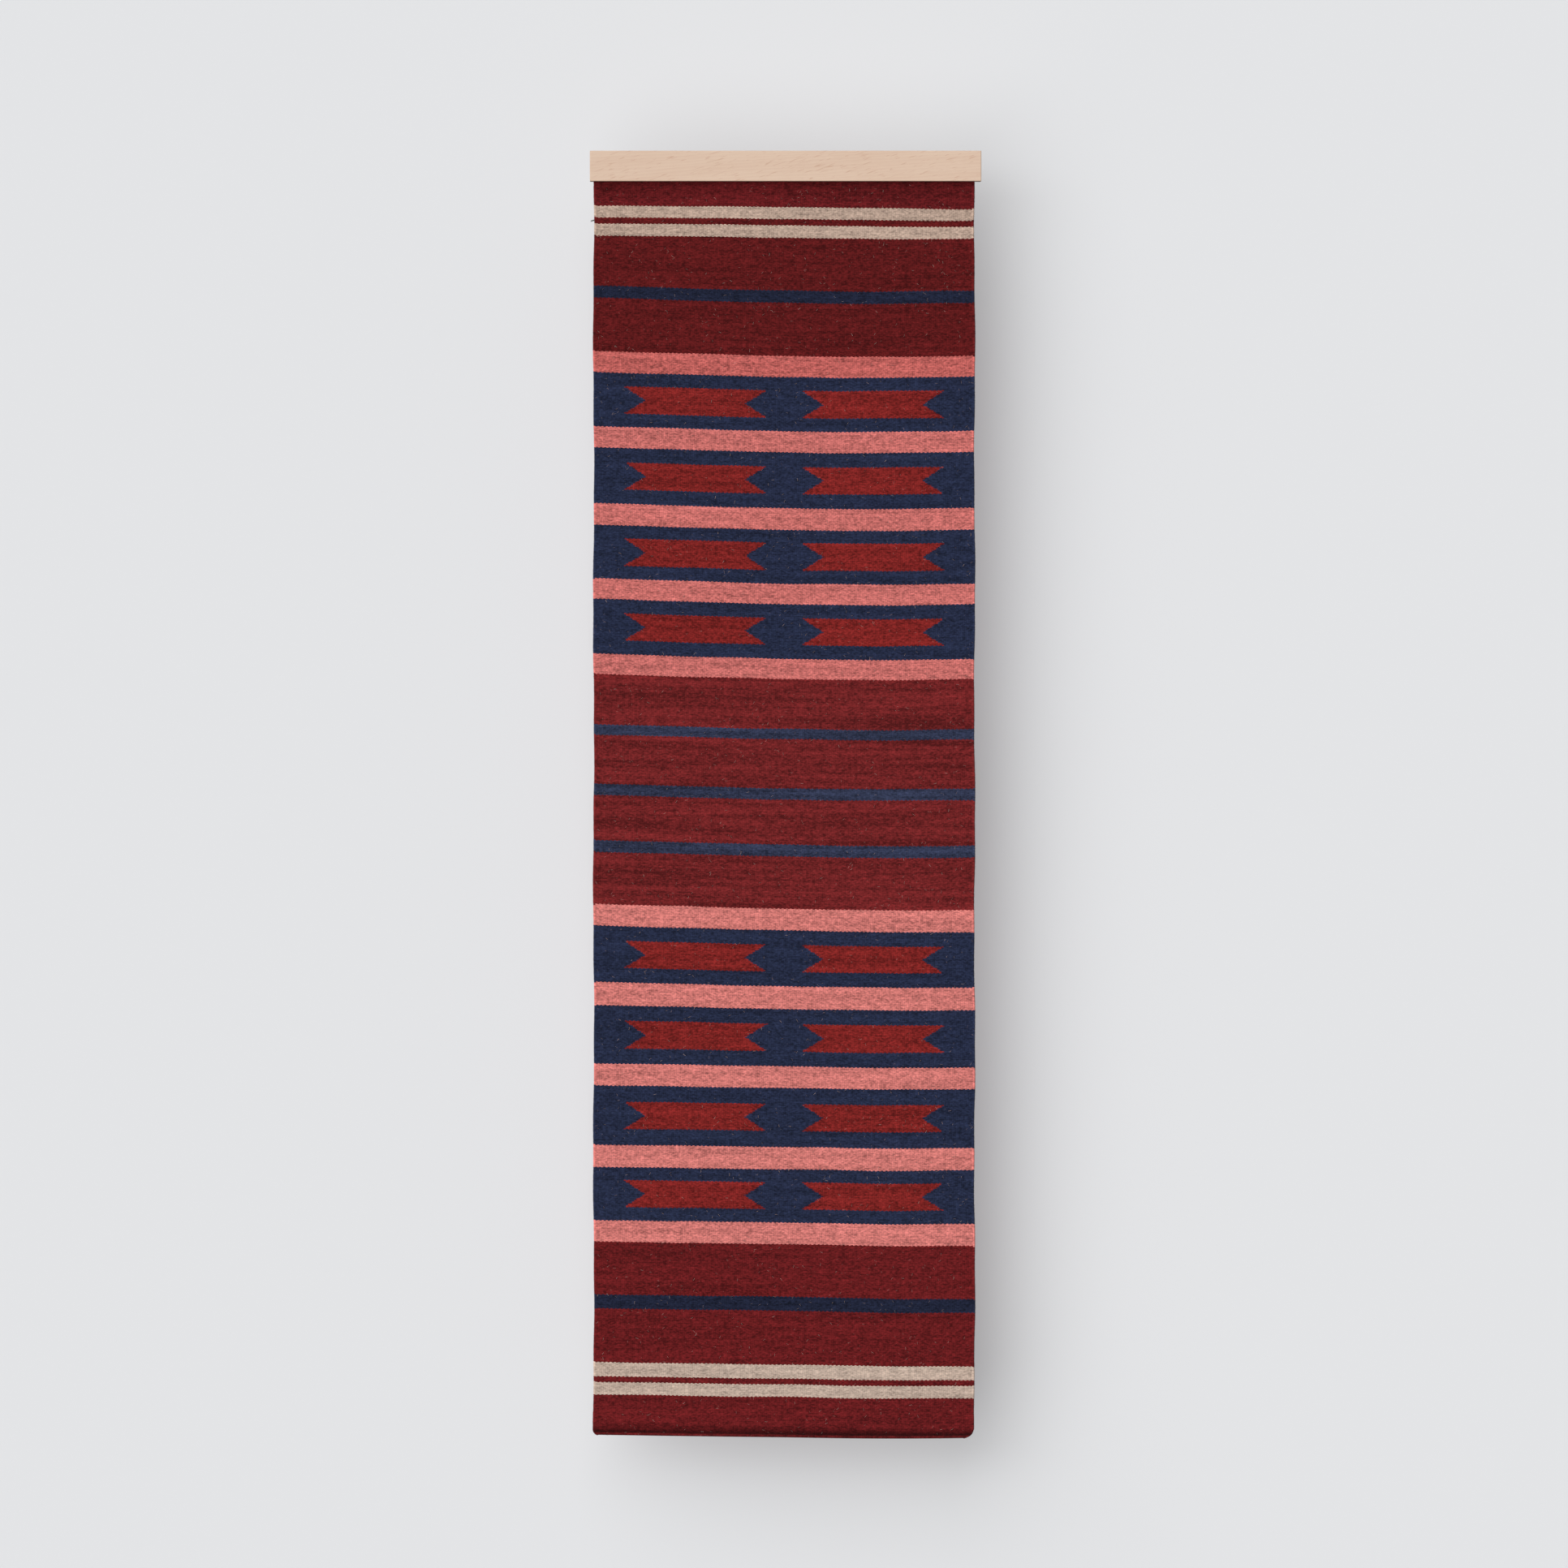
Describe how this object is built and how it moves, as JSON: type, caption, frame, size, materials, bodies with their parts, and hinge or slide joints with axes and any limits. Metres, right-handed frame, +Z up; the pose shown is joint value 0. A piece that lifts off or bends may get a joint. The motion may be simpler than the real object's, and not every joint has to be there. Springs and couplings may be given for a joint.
{
  "type": "tapestry wall hanging",
  "caption": "Long striped woven wool panel that hangs from a two-board wooden clamp, with magnets in the boards and keyhole plates behind.",
  "frame": {"origin": "middle of the rear board's flat back face, which lies against the wall", "axes": "+Z up, along the cloth; +X to the viewer's right, along the bar; +Y into the wall, so the front faces -Y"},
  "size_m": [0.618, 0.037, 2.032],
  "materials": {
    "maple": "sanded and oiled pale maple",
    "beech": "plain turned beech",
    "nickel": "nickel-plated",
    "zinc_steel": "zinc-plated pressed steel",
    "wool": "handwoven wool, wine red with navy, rose and natural stripes",
    "thread": "waxed linen thread"
  },
  "bodies": {
    "rear_bar": {"rear_board": "maple", "rear_magnet_1": "nickel", "rear_magnet_2": "nickel", "rear_magnet_3": "nickel", "rear_magnet_4": "nickel", "rear_magnet_5": "nickel", "rear_magnet_6": "nickel", "rear_magnet_7": "nickel", "rear_magnet_8": "nickel", "dowel_left": "beech", "dowel_right": "beech", "keyhole_plate_left": "zinc_steel", "keyhole_plate_right": "zinc_steel", "keyhole_screw_1": "zinc_steel", "keyhole_screw_2": "zinc_steel", "keyhole_screw_3": "zinc_steel", "keyhole_screw_4": "zinc_steel", "tapestry_heading": "wool"},
    "front_bar": {"front_board": "maple", "front_magnet_1": "nickel", "front_magnet_2": "nickel", "front_magnet_3": "nickel", "front_magnet_4": "nickel", "front_magnet_5": "nickel", "front_magnet_6": "nickel", "front_magnet_7": "nickel", "front_magnet_8": "nickel"},
    "hanging_cloth": {"tapestry_panel": "wool", "selvedge_left": "wool", "selvedge_right": "wool", "hem_fold": "wool", "hem_thread": "thread"}
  },
  "joints": [
    {"name": "cloth_swing", "type": "hinge", "parent": "rear_bar", "child": "hanging_cloth", "pos_m": [0, -0.017, -0.026], "axis": [-1, 0, 0], "range_deg": [0, 45]},
    {"name": "front_board_pull", "type": "slide", "parent": "rear_bar", "child": "front_bar", "axis": [0, -1, 0], "range_m": [0, 0.04]}
  ]
}
